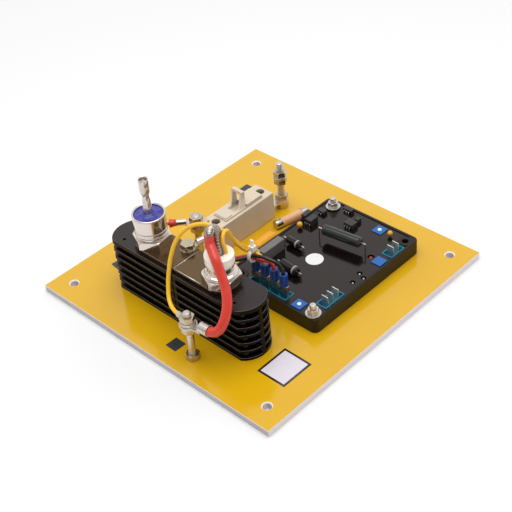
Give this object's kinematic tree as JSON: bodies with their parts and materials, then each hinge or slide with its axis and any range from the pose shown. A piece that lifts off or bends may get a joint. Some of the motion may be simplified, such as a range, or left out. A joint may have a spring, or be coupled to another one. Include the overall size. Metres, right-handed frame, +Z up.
{
  "type": "automatic voltage regulator",
  "caption": "Open-frame automatic voltage regulator: laminate plate with finned heat sinks carrying a stud diode and a thyristor, a fuse holder, terminal studs and a potted control module.",
  "frame": {"origin": "centre of the base plate's underside", "axes": "+Z up out of the plate, +Y from the heat sinks towards the fuse holder's far end, +X from the fuse holder towards the potted module"},
  "size_m": [0.25, 0.25, 0.1162],
  "materials": {
    "yellow_laminate": "satin glass laminate",
    "black_anodised": "black anodised, machined fins",
    "plated_metal": "nickel plated, satin",
    "bright_plated_metal": "nickel plated, polished",
    "tinned_metal": "tinned, dull",
    "zinc_steel": "zinc plated",
    "contact_brass": "stamped",
    "blue_seal": "moulded epoxy",
    "white_ceramic": "glazed",
    "beige_moulding": "fine moulded grain",
    "fuse_ceramic": "matt ceramic tube",
    "peach_tube": "wrapped fibre tube",
    "orange_epoxy": "dipped epoxy",
    "black_moulding": "moulded, satin",
    "black_resin": "cast resin",
    "teal_board": "solder mask",
    "resistor_enamel": "fired enamel",
    "black_epoxy": "moulded epoxy",
    "grey_moulding": "moulded",
    "blue_moulding": "moulded",
    "white_moulding": "moulded",
    "blue_sleeve": "soft vinyl",
    "red_lens": "tinted lens",
    "white_nylon": "nylon",
    "red_insulation": "extruded sleeve",
    "yellow_insulation": "extruded sleeve",
    "black_insulation": "extruded sleeve"
  },
  "bodies": {
    "regulator": {"base_plate": "yellow_laminate", "heatsink_diode": "black_anodised", "heatsink_thyristor": "black_anodised", "heatsink_screws": "zinc_steel", "diode_bar": "plated_metal", "thyristor_bar": "plated_metal", "diode_base": "bright_plated_metal", "diode_can": "bright_plated_metal", "diode_seal": "blue_seal", "diode_stem": "tinned_metal", "thyristor_base": "bright_plated_metal", "thyristor_can": "bright_plated_metal", "thyristor_ceramic": "white_ceramic", "thyristor_braid": "tinned_metal", "bar_bolt": "zinc_steel", "terminal_studs": "zinc_steel", "terminal_nuts": "zinc_steel", "terminal_washers": "zinc_steel", "ring_lugs": "tinned_metal", "heavy_lug": "tinned_metal", "fuse_straps": "tinned_metal", "fuse_base": "beige_moulding", "fuse_contacts": "contact_brass", "fuse_screws": "zinc_steel", "spare_fuse_tube": "peach_tube", "spare_fuse_caps": "tinned_metal", "film_capacitor": "orange_epoxy", "module_tray": "black_moulding", "circuit_board": "teal_board", "potting_resin": "black_resin", "window_dams": "teal_board", "module_bolts": "zinc_steel", "module_nuts": "zinc_steel", "module_washers": "zinc_steel", "power_resistor": "resistor_enamel", "resistor_leads": "tinned_metal", "rectifier_diodes": "black_epoxy", "rectifier_leads": "tinned_metal", "box_capacitor": "grey_moulding", "potted_blocks": "black_epoxy", "bead_capacitors": "orange_epoxy", "indicator_lamp": "red_lens", "test_posts": "tinned_metal", "blade_terminals": "tinned_metal", "push_receptacles": "tinned_metal", "connector_sleeves": "blue_sleeve", "trimmer_bodies": "blue_moulding", "cable_tie": "white_nylon", "red_lead": "red_insulation", "yellow_loop": "yellow_insulation", "gate_wire": "yellow_insulation", "sense_wire": "yellow_insulation", "red_wire": "red_insulation", "black_wire": "black_insulation"},
    "carrier": {"fuse_carrier": "beige_moulding", "fuse_link": "fuse_ceramic"},
    "near_trimmer": {"trimmer_rotor_near": "white_moulding"},
    "far_trimmer": {"trimmer_rotor_far": "white_moulding"}
  },
  "joints": [
    {"name": "carrier_slide", "type": "slide", "parent": "regulator", "child": "carrier", "axis": [0, 0, 1], "range_m": [0, 0.03]},
    {"name": "near_trimmer_turn", "type": "hinge", "parent": "regulator", "child": "near_trimmer", "pos_m": [0.0633, -0.02325, 0.019], "axis": [0, 0, 1], "range_deg": [-135, 135]},
    {"name": "far_trimmer_turn", "type": "hinge", "parent": "regulator", "child": "far_trimmer", "pos_m": [0.0535, 0.08625, 0.019], "axis": [0, 0, 1], "range_deg": [-135, 135]}
  ]
}
